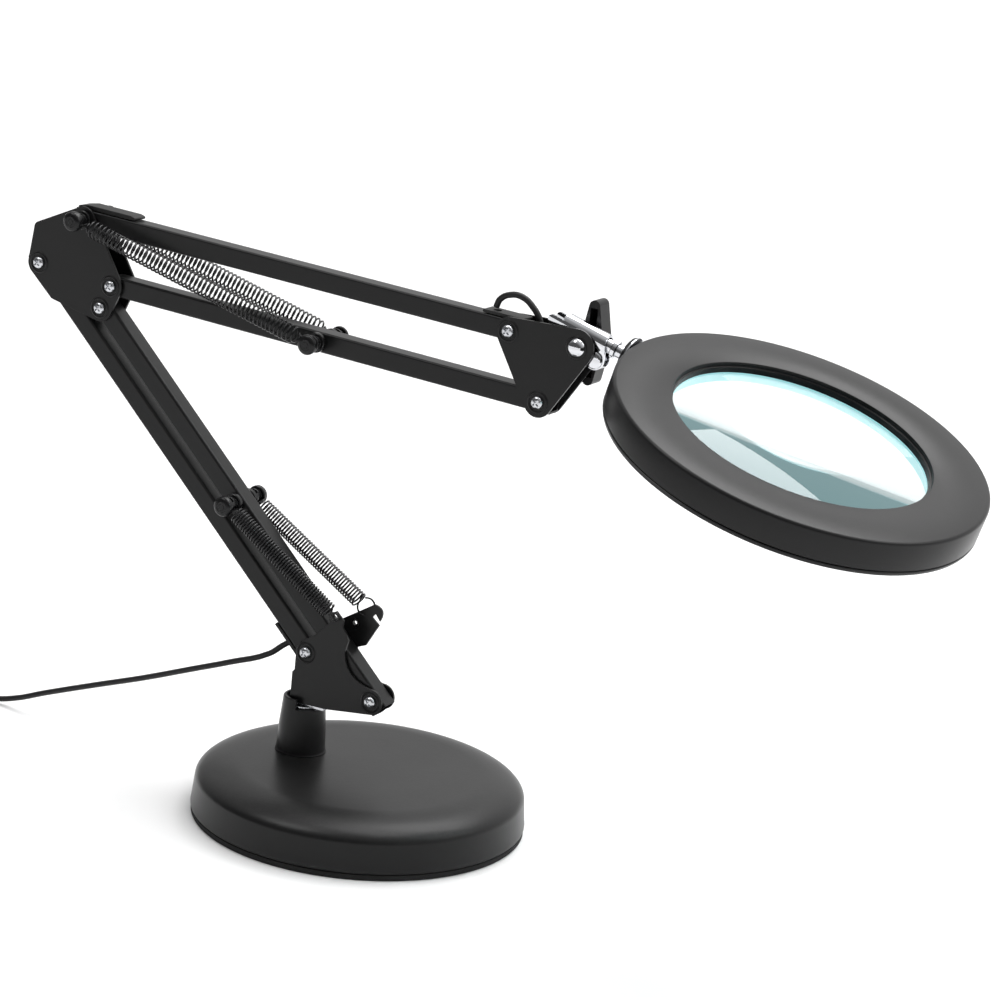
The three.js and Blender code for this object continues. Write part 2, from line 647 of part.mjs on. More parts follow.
// Power cord: out of the lower arm, down to the table, coiled, and ending in a plug.
function build_cord() {
  const cord = new THREE.Group();
  lamp.add(cord);
  const route = [
    [-11.2, 0, 79.7], [-14.6, 0, 77.2], [-21.7, 0, 71.4], [-44.4, 1, 61.3], [-67.7, 3, 51.6],
    [-100, 7, 38], [-130, 9, 26.5], [-162, 11, 14], [-184, 12, 5.2], [-198, 12, 2], [-211.2, 12, 1.9],
  ];
  piece(cord, 'cord_lead', cord_tube(route, 40), soft_black);
  const coil_centre = [-223, -9];
  const coil = turned([
    [15, 0.2], [21, 0.2], [22.5, 1.7], [22.5, 10.3], [21, 11.8], [15, 11.8], [13.5, 10.3], [13.5, 1.7],
  ], 'z', 32);
  piece(cord, 'cord_coil', coil, soft_black).position.set(coil_centre[0], coil_centre[1], 0);
  const tail = [
    [-234.8, 12, 9.4], [-243, 12, 7], [-252, 11, 4.8], [-262, 8.4, 4.1], [-271.3, 5.5, 4],
  ];
  piece(cord, 'cord_tail', cord_tube(tail, 8), soft_black);
  const plug = new THREE.Group();
  plug.position.set(-271.5, 5.4, 4);
  plug.rotation.z = rad(180 + 20);
  cord.add(plug);
  piece(plug, 'plug_body', block([0.6, -7.8, -3.9], [27, 7.8, 4.1]), black_plastic);
  const sleeve = solid(block([27.3, -6, -2.2], [39, 6, 2.3]));
  const mouth = solid(block([28.3, -5.6, -1.8], [45, 5.6, 1.9]));
  piece(plug, 'plug_sleeve', sleeve.subtract(mouth), chrome);
}

build_base();
build_base_bracket();
build_lower_arm();
build_elbow();
build_upper_arm();
build_head_bracket();
build_head();
build_cord();

export default lamp;
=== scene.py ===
"""The looks of a desk magnifier lamp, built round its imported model."""

import json
import math

import bmesh
import bpy
from mathutils import Matrix, Vector

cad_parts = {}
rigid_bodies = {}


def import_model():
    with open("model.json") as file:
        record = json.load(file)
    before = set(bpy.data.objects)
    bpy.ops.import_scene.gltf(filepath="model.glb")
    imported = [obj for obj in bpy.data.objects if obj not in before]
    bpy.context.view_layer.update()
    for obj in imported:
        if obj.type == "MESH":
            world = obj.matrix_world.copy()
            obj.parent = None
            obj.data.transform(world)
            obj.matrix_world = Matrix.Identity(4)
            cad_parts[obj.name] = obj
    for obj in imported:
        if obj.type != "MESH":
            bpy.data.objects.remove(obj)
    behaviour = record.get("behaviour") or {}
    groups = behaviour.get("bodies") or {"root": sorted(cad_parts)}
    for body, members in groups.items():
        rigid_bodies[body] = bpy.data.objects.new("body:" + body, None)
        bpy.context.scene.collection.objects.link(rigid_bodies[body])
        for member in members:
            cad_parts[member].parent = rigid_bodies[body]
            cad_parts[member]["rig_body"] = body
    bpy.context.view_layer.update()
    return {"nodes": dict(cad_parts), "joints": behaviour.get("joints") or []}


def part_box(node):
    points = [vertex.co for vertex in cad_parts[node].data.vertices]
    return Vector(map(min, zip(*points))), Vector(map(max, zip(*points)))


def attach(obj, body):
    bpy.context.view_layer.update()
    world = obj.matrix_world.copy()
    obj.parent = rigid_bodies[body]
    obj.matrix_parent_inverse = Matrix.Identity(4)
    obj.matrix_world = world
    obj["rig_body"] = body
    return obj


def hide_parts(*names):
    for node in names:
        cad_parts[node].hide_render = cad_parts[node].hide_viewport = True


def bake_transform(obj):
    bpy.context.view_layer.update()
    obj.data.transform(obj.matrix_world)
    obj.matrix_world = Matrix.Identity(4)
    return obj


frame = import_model()


# Camera: a long lens a little above the lamp, to the right of its front, and slightly rolled.
azimuth, elevation, roll = (math.radians(angle) for angle in (26.55, 14.84, 5.59))
camera_data = bpy.data.cameras.new("camera")
camera_data.lens = 106.75
camera_data.clip_start = 0.05
camera = bpy.data.objects.new("camera", camera_data)
bpy.context.scene.collection.objects.link(camera)
camera.matrix_world = (
    Matrix.Translation((0.6616, -1.2015, 0.5308))
    @ Matrix.Rotation(azimuth, 4, "Z")
    @ Matrix.Rotation(math.pi / 2 - elevation, 4, "X")
    @ Matrix.Rotation(roll, 4, "Z")
)
bpy.context.scene.camera = camera


# Surface effects that the lamp's finishes share: a fine unevenness of colour, gloss and
# height, as any coated, moulded or drawn surface has, and a little dust on what faces up.
def surface_group():
    group = bpy.data.node_groups.new("surface unevenness", "ShaderNodeTree")
    inputs = [
        ("Colour", "NodeSocketColor"), ("Second Colour", "NodeSocketColor"),
        ("Scale", "NodeSocketFloat"), ("Gloss", "NodeSocketFloat"),
        ("Gloss Spread", "NodeSocketFloat"), ("Dust", "NodeSocketFloat"),
    ]
    outputs = [
        ("Colour", "NodeSocketColor"), ("Roughness", "NodeSocketFloat"), ("Height", "NodeSocketFloat"),
    ]
    for name, kind in inputs:
        group.interface.new_socket(name, in_out="INPUT", socket_type=kind)
    for name, kind in outputs:
        group.interface.new_socket(name, in_out="OUTPUT", socket_type=kind)
    nodes, links = group.nodes, group.links
    entry = nodes.new("NodeGroupInput")
    leaving = nodes.new("NodeGroupOutput")
    place = nodes.new("ShaderNodeTexCoord")
    fine = nodes.new("ShaderNodeTexNoise")
    fine.inputs["Detail"].default_value = 6
    links.new(place.outputs["Object"], fine.inputs["Vector"])
    links.new(entry.outputs["Scale"], fine.inputs["Scale"])
    broad = nodes.new("ShaderNodeTexNoise")
    broad.inputs["Scale"].default_value = 22
    broad.inputs["Detail"].default_value = 3
    links.new(place.outputs["Object"], broad.inputs["Vector"])
    colour = nodes.new("ShaderNodeMix")
    colour.data_type = "RGBA"
    links.new(broad.outputs["Fac"], colour.inputs["Factor"])
    links.new(entry.outputs["Colour"], colour.inputs["A"])
    links.new(entry.outputs["Second Colour"], colour.inputs["B"])
    upward = nodes.new("ShaderNodeSeparateXYZ")
    links.new(place.outputs["Normal"], upward.inputs[0])
    dust = nodes.new("ShaderNodeMath")
    dust.operation = "MULTIPLY"
    dust.use_clamp = True
    links.new(upward.outputs["Z"], dust.inputs[0])
    links.new(fine.outputs["Fac"], dust.inputs[1])
    dust_here = nodes.new("ShaderNodeMath")
    dust_here.operation = "MULTIPLY"
    dust_here.use_clamp = True
    links.new(dust.outputs[0], dust_here.inputs[0])
    links.new(entry.outputs["Dust"], dust_here.inputs[1])
    dusty = nodes.new("ShaderNodeMix")
    dusty.data_type = "RGBA"
    dusty.inputs["B"].default_value = (0.35, 0.34, 0.33, 1)
    links.new(dust_here.outputs[0], dusty.inputs["Factor"])
    links.new(colour.outputs["Result"], dusty.inputs["A"])
    links.new(dusty.outputs["Result"], leaving.inputs["Colour"])
    centred = nodes.new("ShaderNodeMath")
    centred.operation = "SUBTRACT"
    centred.inputs[1].default_value = 0.5
    links.new(broad.outputs["Fac"], centred.inputs[0])
    gloss = nodes.new("ShaderNodeMath")
    gloss.operation = "MULTIPLY_ADD"
    gloss.use_clamp = True
    links.new(centred.outputs[0], gloss.inputs[0])
    links.new(entry.outputs["Gloss Spread"], gloss.inputs[1])
    links.new(entry.outputs["Gloss"], gloss.inputs[2])
    links.new(gloss.outputs[0], leaving.inputs["Roughness"])
    links.new(fine.outputs["Fac"], leaving.inputs["Height"])
    return group


unevenness = surface_group()


coated_specular, metal_specular = 0.26, 0.5


def finish_of(name, colour, second, gloss, spread, scale, depth, metallic=0.0, dust=0.0):
    """A finish: colour wanders to the second, gloss is roughness, and depth is the bump in metres."""
    made = bpy.data.materials.new(name)
    made.use_nodes = True
    nodes, links = made.node_tree.nodes, made.node_tree.links
    shader = nodes["Principled BSDF"]
    shader.inputs["Metallic"].default_value = metallic
    shader.inputs["Specular IOR Level"].default_value = metal_specular if metallic else coated_specular
    surface = nodes.new("ShaderNodeGroup")
    surface.node_tree = unevenness
    surface.inputs["Colour"].default_value = (*colour, 1)
    surface.inputs["Second Colour"].default_value = (*second, 1)
    surface.inputs["Scale"].default_value = scale
    surface.inputs["Gloss"].default_value = gloss
    surface.inputs["Gloss Spread"].default_value = spread
    surface.inputs["Dust"].default_value = dust
    bump = nodes.new("ShaderNodeBump")
    bump.inputs["Strength"].default_value = 1
    bump.inputs["Distance"].default_value = depth
    links.new(surface.outputs["Colour"], shader.inputs["Base Color"])
    links.new(surface.outputs["Roughness"], shader.inputs["Roughness"])
    links.new(surface.outputs["Height"], bump.inputs["Height"])
    links.new(bump.outputs["Normal"], shader.inputs["Normal"])
    return made


# Power cord: a thin round black flex that leaves the lower arm's main tube near its foot and
# runs straight down to the table. The spare length is wound up beside the lamp.
post = Vector((-0.0354, 0, 0))
cord_thickness = 0.003
cord_sheath = finish_of(
    "black cable sheath", (0.008, 0.008, 0.0085), (0.014, 0.014, 0.0145),
    0.45, 0.2, 900, 0.00005, dust=0.05,
)
lead_route = [
    (-0.0112, 0, 0.0797), (-0.0146, 0, 0.0772), (-0.0217, 0, 0.0714), (-0.0444, 0.001, 0.0613),
    (-0.0677, 0.003, 0.0516), (-0.1, 0.007, 0.038), (-0.13, 0.009, 0.0265), (-0.162, 0.011, 0.014),
    (-0.184, 0.012, 0.0052), (-0.198, 0.012, 0.002), (-0.2112, 0.012, 0.0019),
]
coil_centre = Vector((-0.223, -0.009, 0))
coil_columns = (0.021, 0.018, 0.015)
coil_floor, coil_lift, coil_layers = 0.0017, 0.00287, 4
points_a_turn = 16
tail_route = [
    (-0.2348, 0.012, 0.0094), (-0.243, 0.012, 0.007), (-0.252, 0.011, 0.0048),
    (-0.262, 0.0084, 0.0041), (-0.2713, 0.0055, 0.004),
]


def coil_points():
    """Turns that spiral in along one layer and out along the next, each layer on the last."""
    turns_a_layer = len(coil_columns)
    points = []
    for step in range(1, coil_layers * turns_a_layer * points_a_turn):
        turn = step / points_a_turn
        layer, within = divmod(turn, turns_a_layer)
        column = min(within, turns_a_layer - 1)
        if layer % 2:
            column = turns_a_layer - 1 - min(within, turns_a_layer - 1)
        radius = coil_columns[0] - cord_thickness * column
        climb = max(0.0, within - (turns_a_layer - 0.5)) / 0.5
        climb = 0 if layer == coil_layers - 1 else climb
        angle = math.pi / 2 + 2 * math.pi * turn
        height = coil_floor + coil_lift * (layer + climb)
        points.append(coil_centre + Vector((radius * math.cos(angle), radius * math.sin(angle), height)))
    return points


def bezier_wire(name, points, radius, resolution=4):
    curve = bpy.data.curves.new(name, "CURVE")
    curve.dimensions = "3D"
    curve.bevel_depth = radius
    curve.bevel_resolution = 3
    curve.use_fill_caps = True
    curve.resolution_u = resolution
    spline = curve.splines.new("BEZIER")
    spline.bezier_points.add(len(points) - 1)
    for knot, point in zip(spline.bezier_points, points):
        knot.co = point
        knot.handle_left_type = knot.handle_right_type = "AUTO"
    wire = bpy.data.objects.new(name, curve)
    bpy.context.scene.collection.objects.link(wire)
    return wire


cord_points = [post + Vector(point) for point in lead_route]
cord_points += [post + point for point in coil_points()]
cord_points += [post + Vector(point) for point in tail_route]
power_cord = bezier_wire("power_cord", cord_points, cord_thickness / 2)
power_cord.data.materials.append(cord_sheath)
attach(power_cord, "base")
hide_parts("cord_lead", "cord_coil", "cord_tail")


# Plug: a small moulded body with a plated steel sleeve, at the end of the cord.
def shaded(mesh, sharp):
    mesh.shade_smooth()
    mesh.set_sharp_from_angle(angle=math.radians(sharp))


def settled(bm, name, body, finish, slot, *nodes, sharp=32):
    """The bmesh as an object that rides on a body and stands for the named nodes."""
    mesh = bpy.data.meshes.new(name)
    bm.to_mesh(mesh)
    bm.free()
    mesh.materials.append(finish)
    shaded(mesh, sharp)
    made = bpy.data.objects.new(name, mesh)
    bpy.context.scene.collection.objects.link(made)
    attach(made, body)
    if nodes:
        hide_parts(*nodes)
    return made


def refined(name, node, finish, slot, softened, turn=28, sharp=40, extra=None):
    """A copy of a CAD node, its loose triangles joined and its edges softened."""
    bm = bmesh.new()
    bm.from_mesh(frame["nodes"][node].data)
    bmesh.ops.remove_doubles(bm, verts=bm.verts, dist=1e-6)
    bmesh.ops.dissolve_limit(bm, angle_limit=math.radians(0.6), verts=bm.verts, edges=bm.edges)
    if softened:
        hard = [e for e in bm.edges if len(e.link_faces) == 2 and e.calc_face_angle() > math.radians(turn)]
        bmesh.ops.bevel(
            bm, geom=hard, offset=softened, offset_type="OFFSET", segments=2, profile=0.5,
            affect="EDGES", clamp_overlap=True, material=-1,
        )
    if extra:
        extra(bm)
    body = frame["nodes"][node]["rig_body"]
    made = settled(bm, name, body, finish, slot, node, sharp=sharp)
    flat = made.modifiers.new("flat faces stay flat", "WEIGHTED_NORMAL")
    flat.keep_sharp = True
    flat.weight = 100
    return made


black_moulding = finish_of(
    "black moulded plastic", (0.005, 0.005, 0.0053), (0.008, 0.008, 0.0084),
    0.33, 0.16, 1600, 0.00002, dust=0.03,
)
polished_chrome = finish_of(
    "polished chrome", (0.72, 0.73, 0.75), (0.64, 0.65, 0.68), 0.09, 0.06, 600, 0.000006, metallic=1,
)
plug_moulding = refined("plug_moulding", "plug_body", black_moulding, "black_plastic", 0.0012, turn=50)
plug_shell = refined("plug_shell", "plug_sleeve", polished_chrome, "chrome", 0.0003, turn=50)


# Base: a pressed steel dome, powder coated black, over an iron weight. It stands on a foam pad
# whose edge shows as a thin dark line. The socket for the arm is a moulding bolted to it.
def spun(bm, profile, place=Matrix.Identity(4), steps=48):
    """Adds to bm a turned shape. The profile is (radius, height) about the Z of place."""
    part = bmesh.new()
    corners = [part.verts.new((radius, 0, height)) for radius, height in profile]
    edges = [part.edges.new(pair) for pair in zip(corners, corners[1:])]
    if profile[0][0] > 1e-6:
        edges.append(part.edges.new((corners[-1], corners[0])))
    bmesh.ops.spin(
        part, geom=corners + edges, cent=(0, 0, 0), axis=(0, 0, 1), dvec=(0, 0, 0),
        angle=2 * math.pi, steps=steps, use_merge=True, use_duplicate=False,
    )
    bmesh.ops.remove_doubles(part, verts=part.verts, dist=1e-6)
    bmesh.ops.recalc_face_normals(part, faces=part.faces)
    bmesh.ops.transform(part, matrix=place, verts=part.verts)
    spare = bpy.data.meshes.new("spare")
    part.to_mesh(spare)
    part.free()
    bm.from_mesh(spare)
    bpy.data.meshes.remove(spare)


black_paint = finish_of(
    "black powder coat", (0.005, 0.005, 0.0052), (0.008, 0.008, 0.0083),
    0.34, 0.14, 1400, 0.00002, dust=0.03,
)
base_paint = finish_of(
    "black base enamel", (0.005, 0.005, 0.0052), (0.008, 0.008, 0.0083),
    0.34, 0.12, 700, 0.00002, dust=0.03,
)
foam = finish_of("foam pad", (0.012, 0.012, 0.012), (0.03, 0.03, 0.03), 0.95, 0.1, 1800, 0.0002)
base_low, base_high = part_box("base_cover")
base_radius = base_high.x
base_top, base_foot = base_high.z, base_low.z
flat_radius, wall_radius = 0.058, base_radius - 0.0013
shoulder_drop = 0.0095
shoulder_steps = 24
dome = [(0, base_top)]
for i in range(shoulder_steps + 1):
    turn = i / shoulder_steps * math.pi / 2
    dome.append((
        flat_radius + (wall_radius - flat_radius) * math.sin(turn),
        base_top - shoulder_drop * (1 - math.cos(turn)),
    ))
dome += [
    (base_radius - 0.0002, base_foot + 0.0022), (base_radius, base_foot + 0.0012),
    (base_radius - 0.0001, base_foot + 0.0003), (base_radius - 0.0005, base_foot),
    (base_radius - 0.002, base_foot), (base_radius - 0.0034, base_foot + 0.006), (0, base_foot + 0.006),
]
bm = bmesh.new()
spun(bm, dome, steps=160)
settled(bm, "base_dome", "base", base_paint, "black_paint", "base_cover", sharp=40)
pad_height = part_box("base_pad")[1].z
bm = bmesh.new()
spun(bm, [
    (0, 0), (base_radius - 0.0009, 0), (base_radius - 0.0004, 0.0005),
    (base_radius - 0.0003, pad_height - 0.0004), (base_radius - 0.0008, pad_height), (0, pad_height),
], steps=160)
settled(bm, "foam_pad", "base", foam, "foam_pad", "base_pad")
refined("arm_socket", "post_socket", black_moulding, "black_plastic", 0.0004, turn=50, sharp=50)

iron = finish_of("cast iron", (0.05, 0.05, 0.052), (0.08, 0.075, 0.07), 0.7, 0.3, 500, 0.0002, metallic=0.6)
zinc_plate = finish_of(
    "bright zinc plate", (0.62, 0.63, 0.65), (0.52, 0.53, 0.56), 0.24, 0.16, 1200, 0.00001, metallic=1,
)
for node, finish in (("base_weight", iron), ("socket_nut", zinc_plate)):
    frame["nodes"][node].data.materials.clear()
    frame["nodes"][node].data.materials.append(finish)


# Bracket plates: flat 1.3 mm steel blanks in pairs, black powder coated, with a raised ring
# pressed round each pivot hole. The tubes run between them.
front = Matrix.Rotation(math.pi / 2, 4, "X")
rear = Matrix.Rotation(-math.pi / 2, 4, "X")
plate_face = 0.0066


def centre_of(node):
    low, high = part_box(node)
    return Vector(((low.x + high.x) / 2, 0, (low.z + high.z) / 2))


def pressed_rings(pivots, side):
    def add(bm):
        for node in pivots:
            ring = [
                (0.0041, plate_face - 0.0002), (0.0042, plate_face + 0.0002), (0.0045, plate_face + 0.0005),
                (0.0049, plate_face + 0.0005), (0.0053, plate_face + 0.0002), (0.0055, plate_face - 0.0002),
            ]
            spun(bm, ring, Matrix.Translation(centre_of(node)) @ side, steps=40)
    return add


plates = {
    "base_bracket": ("base_main_pivot", "base_link_pivot"),
    "elbow_plate": ("elbow_main_pivot", "elbow_link_pivot", "upper_link_pivot"),
    "head_plate": ("head_main_pivot", "head_link_pivot", "tilt_bolt"),
}
for plate, pivots in plates.items():
    for end, side in (("front", front), ("rear", rear)):
        refined(
            f"{plate}_blank_{end}", f"{plate}_{end}", black_paint, "black_paint", 0.00022, turn=50,
            extra=pressed_rings(pivots, side),
        )


# Arm tubes: 10 mm square steel tube with rounded corners, black powder coated.
tubes = ("lower_main_tube", "lower_link_tube", "upper_main_tube", "upper_link_tube")
for tube in tubes:
    refined(f"{tube}_painted", tube, black_paint, "black_paint", 0, sharp=50)


# Pivot screws: zinc plated machine screws with a domed cross-slot head at the front and a
# locknut on the threaded end behind.
def cross_slot(made, centre, top, reach, width, depth):
    """Cuts a cross recess into a head that faces the front."""
    cutter_mesh = bpy.data.meshes.new("cutter")
    bm = bmesh.new()
    for turn in (45, 135):
        blade = bmesh.ops.create_cube(bm, size=1)["verts"]
        shape = (
            Matrix.Translation(centre + Vector((0, -top, 0)))
            @ Matrix.Rotation(math.radians(turn), 4, "Y")
            @ Matrix.Diagonal((reach, 2 * depth, width, 1))
        )
        bmesh.ops.transform(bm, matrix=shape, verts=blade)
    bm.to_mesh(cutter_mesh)
    bm.free()
    cutter = bpy.data.objects.new("cutter", cutter_mesh)
    bpy.context.scene.collection.objects.link(cutter)
    cut = made.modifiers.new("slot", "BOOLEAN")
    cut.object = cutter
    cut.operation = "DIFFERENCE"
    cut.solver = "EXACT"
    cut.use_self = True
    bpy.context.view_layer.update()
    result = bpy.data.meshes.new_from_object(made.evaluated_get(bpy.context.evaluated_depsgraph_get()))
    made.modifiers.clear()
    made.data = result
    bpy.data.objects.remove(cutter)


def pivot_screw(name, node):
    centre = centre_of(node)
    bm = bmesh.new()
    face = plate_face
    spun(bm, [
        (0, face + 0.0022), (0.0012, face + 0.00215), (0.0021, face + 0.0019), (0.0027, face + 0.0014),
        (0.003, face + 0.0008), (0.0031, face + 0.0003), (0.003, face + 0.0001), (0.0019, face),
        (0.0019, -face), (0, -face),
    ], Matrix.Translation(centre) @ front, steps=40)
    screw = settled(bm, name, frame["nodes"][node]["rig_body"], zinc_plate, "zinc", node)
    cross_slot(screw, centre, face + 0.00225, 0.0038, 0.0008, 0.0011)
    bm = bmesh.new()
    spun(bm, [
        (0.0021, face + 0.0001), (0.0045, face + 0.0001), (0.0045, face + 0.0007), (0.0021, face + 0.0007),
    ], Matrix.Translation(centre) @ rear, steps=40)
    nut = bmesh.ops.create_cone(
        bm, cap_ends=True, segments=6, radius1=0.0039, radius2=0.0039, depth=0.0027,
    )["verts"]
    bmesh.ops.bevel(
        bm, geom=list({e for v in nut for e in v.link_edges}), offset=0.0003, offset_type="OFFSET",
        segments=2, profile=0.5, affect="EDGES", clamp_overlap=True, material=-1,
    )
    low_nut = [v for v in bm.verts if v.co.z < 0.0021 and abs(v.co.x) < 0.006 and abs(v.co.y) < 0.006]
    lift = Matrix.Translation(centre) @ rear @ Matrix.Translation((0, 0, face + 0.0021))
    bmesh.ops.transform(bm, matrix=lift, verts=low_nut)
    thread = [(0, face + 0.0052), (0.0015, face + 0.0051)]
    for ridge in range(6):
        height = face + 0.0049 - ridge * 0.0004
        thread += [(0.0019, height), (0.0016, height - 0.0002)]
    thread += [(0.0016, face), (0, face)]
    spun(bm, thread, Matrix.Translation(centre) @ rear, steps=24)
    settled(bm, name + "_nut", frame["nodes"][node]["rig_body"], zinc_plate, "zinc")


for node in sorted({node for pivots in plates.values() for node in pivots} - {"tilt_bolt"}):
    pivot_screw(node + "_screw", node)

bm = bmesh.new()
spun(bm, [
    (0.0011, 0.0056), (0.0013, 0.0053), (0.0018, 0.0053), (0.002, 0.0055), (0.002, 0.0069),
    (0.003, 0.0069), (0.003, 0.0073), (0.0028, 0.0075), (0.0011, 0.0075),
], Matrix.Translation(centre_of("bracket_eyelet")) @ rear, steps=32)
settled(bm, "plate_eyelet", "swivel_bracket", black_paint, "black_paint", "bracket_eyelet")
refined("post_block", "swivel_post", zinc_plate, "zinc", 0.0002, turn=50)


# Spring spools: black turned plastic knobs on a steel pin, one each side of the arm, with a
# groove that holds the spring's end loop and a domed face with a fine ring.
knob_black = finish_of(
    "black knob plastic", (0.005, 0.005, 0.0055), (0.008, 0.008, 0.0085),
    0.25, 0.14, 1500, 0.00001, dust=0.03,
)


def spool(name, node, side, groove_from, groove_to):
    low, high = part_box(node)
    seat, face = sorted((abs(low.y), abs(high.y)))
    rim = (high.x - low.x) / 2
    bm = bmesh.new()
    spun(bm, [
        (0, face), (0.0014, face - 0.00004), (0.0016, face - 0.0003), (0.0026, face - 0.0003),
        (0.0028, face - 0.00006), (0.0038, face - 0.0003), (rim - 0.0004, face - 0.0007),
        (rim, face - 0.0014), (rim, groove_to + 0.0004), (rim - 0.0004, groove_to),
        (0.0034, groove_to - 0.0001), (0.0032, groove_to - 0.0004), (0.0032, groove_from + 0.0004),
        (0.0034, groove_from + 0.0001), (rim - 0.0004, groove_from), (rim, groove_from - 0.0004),
        (rim, seat + 0.0004), (rim - 0.0004, seat), (0, seat),
    ], Matrix.Translation(centre_of(node)) @ side, steps=48)
    settled(bm, name, frame["nodes"][node]["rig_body"], knob_black, "black_plastic", node)


for place, groove_from, groove_to in (
    ("lower", 0.008, 0.014), ("elbow", 0.0082, 0.0132), ("upper", 0.008, 0.014),
):
    for end, side in (("front", front), ("rear", rear)):
        spool(f"{place}_knob_{end}", f"{place}_spool_{end}", side, groove_from, groove_to)
for pin in ("lower_spring_pin", "elbow_spring_pin", "upper_spring_pin"):
    refined(pin + "_steel", pin, zinc_plate, "zinc", 0, sharp=50)


# Extension springs: close-wound 1 mm steel wire, narrowing at each end to a hook and a loop
# that lies in the spool's groove. They work in pairs, one each side of the arm.
spring_wire = finish_of(
    "blackened spring wire", (0.012, 0.012, 0.013), (0.022, 0.022, 0.023),
    0.24, 0.16, 1500, 0.00001, metallic=0.4,
)


def wire_mesh(name, points, radius, body, finish, slot, *nodes):
    curve = bpy.data.curves.new(name, "CURVE")
    curve.dimensions = "3D"
    curve.bevel_depth = radius
    curve.bevel_resolution = 1
    curve.use_fill_caps = True
    spline = curve.splines.new("POLY")
    spline.points.add(len(points) - 1)
    for knot, point in zip(spline.points, points):
        knot.co = (*point, 1)
    holder = bpy.data.objects.new(name + "_path", curve)
    bpy.context.scene.collection.objects.link(holder)
    bpy.context.view_layer.update()
    mesh = bpy.data.meshes.new_from_object(holder.evaluated_get(bpy.context.evaluated_depsgraph_get()))
    bpy.data.objects.remove(holder)
    mesh.materials.clear()
    mesh.materials.append(finish)
    mesh.shade_smooth()
    made = bpy.data.objects.new(name, mesh)
    bpy.context.scene.collection.objects.link(made)
    if nodes:
        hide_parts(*nodes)
    if body:
        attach(made, body)
    return made


def ring_points(centre, across, outward, radius, first, last):
    """Part of a ring about a centre, from one angle to another, in degrees."""
    steps = 18
    points = []
    for i in range(steps + 1):
        angle = math.radians(first + (last - first) * i / steps)
        points.append(centre + radius * (across * math.cos(angle) + outward * math.sin(angle)))
    return points


def coil_turns(begin, finish, up, out, radius, turns, narrowing):
    """Turns of wire from one place to another, narrower over the first and last few."""
    steps = 14
    points = []
    for i in range(int(turns * steps) + 1):
        turn = i / steps
        ease = min(1.0, (turn + 0.6) / narrowing, (turns - turn + 0.6) / narrowing)
        width = radius * math.sin(ease * math.pi / 2)
        angle = 2 * math.pi * turn
        middle = begin.lerp(finish, turn / turns)
        points.append(middle + width * (up * math.cos(angle) + out * math.sin(angle)))
    return points


def spring_path(start, end, coil_radius, loops, gaps, turns, narrowing, lean=0.0):
    """A loop round start, the coil, and a loop at end whose plane leans to the side."""
    axis = (end - start).normalized()
    up = Vector((-axis.z, 0, axis.x)).normalized()
    out = axis.cross(up)
    leaning = (up * math.cos(lean) + out * math.sin(lean)).normalized()
    path = ring_points(start, axis, up, loops[0], 75, 360)
    path += coil_turns(start + axis * gaps[0], end - axis * gaps[1], up, out, coil_radius, turns, narrowing)
    path += ring_points(end, axis, leaning, loops[1], 180, 500)
    return path


wire_radius = 0.0005
for end, sign in (("front", -1), ("rear", 1)):
    start = centre_of(f"elbow_spool_{end}") + Vector((0, sign * 0.0118, 0))
    finish = centre_of(f"upper_spool_{end}") + Vector((0, sign * 0.0116, 0))
    path = spring_path(start, finish, 0.0042, (0.0038, 0.0038), (0.0075, 0.0075), 53, 2.2)
    spring = wire_mesh(
        f"upper_coil_{end}", path, wire_radius, None, spring_wire, "spring_steel", f"upper_spring_{end}",
    )
    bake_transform(spring)

lower_ends = {
    "front": (post + Vector((0.0178, -0.0085, 0.1012)), 0.0021, 0.0042, 0.0),
    "rear": (post + Vector((0.0262, 0.0072, 0.1048)), 0.0044, 0.0048, math.radians(-24)),
}
for end, sign in (("front", -1), ("rear", 1)):
    start = centre_of(f"lower_spool_{end}") + Vector((0, sign * 0.0112, 0))
    finish, loop, gap, lean = lower_ends[end]
    path = spring_path(start, finish, 0.0039, (0.0038, loop), (0.0064, gap), 43, 0.6, lean)
    wire_mesh(
        f"lower_coil_{end}", path, wire_radius, "lower_springs", spring_wire, "spring_steel",
        f"lower_spring_{end}",
    )


# Cable fittings: the soft outlet where the cord leaves the lower arm, the cover strip over the
# elbow, and the strip on the upper tube where the cable loops over to the head.
soft_strip = finish_of(
    "soft black strip", (0.008, 0.008, 0.008), (0.014, 0.014, 0.014), 0.5, 0.2, 800, 0.00006, dust=0.05,
)
refined("cord_outlet", "cable_outlet", soft_strip, "soft_black", 0.0005, turn=50)
stub_route = [post + Vector(p) for p in ((-0.0035, 0, 0.0836), (-0.0075, 0, 0.0818), (-0.0112, 0, 0.0797))]
wire_mesh("cord_exit", stub_route, cord_thickness / 2, "lower_arm", cord_sheath, "soft_black")
refined("elbow_strip", "elbow_cable_cover", soft_strip, "soft_black", 0.0003, turn=50)
refined("head_strip", "cable_grommet", soft_strip, "soft_black", 0.0003, turn=50)
loop_route = [
    (0.085, 0, 0.2654), (0.0868, 0, 0.2694), (0.0926, 0, 0.2724), (0.0984, 0, 0.2721),
    (0.1038, 0, 0.2686), (0.108, 0, 0.2631), (0.1092, 0, 0.257), (0.1088, 0, 0.25),
]
loop_curve = bezier_wire("head_cable_curve", [post + Vector(p) for p in loop_route], cord_thickness / 2, 10)
bpy.context.view_layer.update()
loop_mesh = bpy.data.meshes.new_from_object(
    loop_curve.evaluated_get(bpy.context.evaluated_depsgraph_get())
)
bpy.data.objects.remove(loop_curve)
loop_mesh.materials.clear()
loop_mesh.materials.append(cord_sheath)
loop_mesh.shade_smooth()
head_cable = bpy.data.objects.new("head_cable_loop", loop_mesh)
bpy.context.scene.collection.objects.link(head_cable)
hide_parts("head_cable")
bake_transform(head_cable)
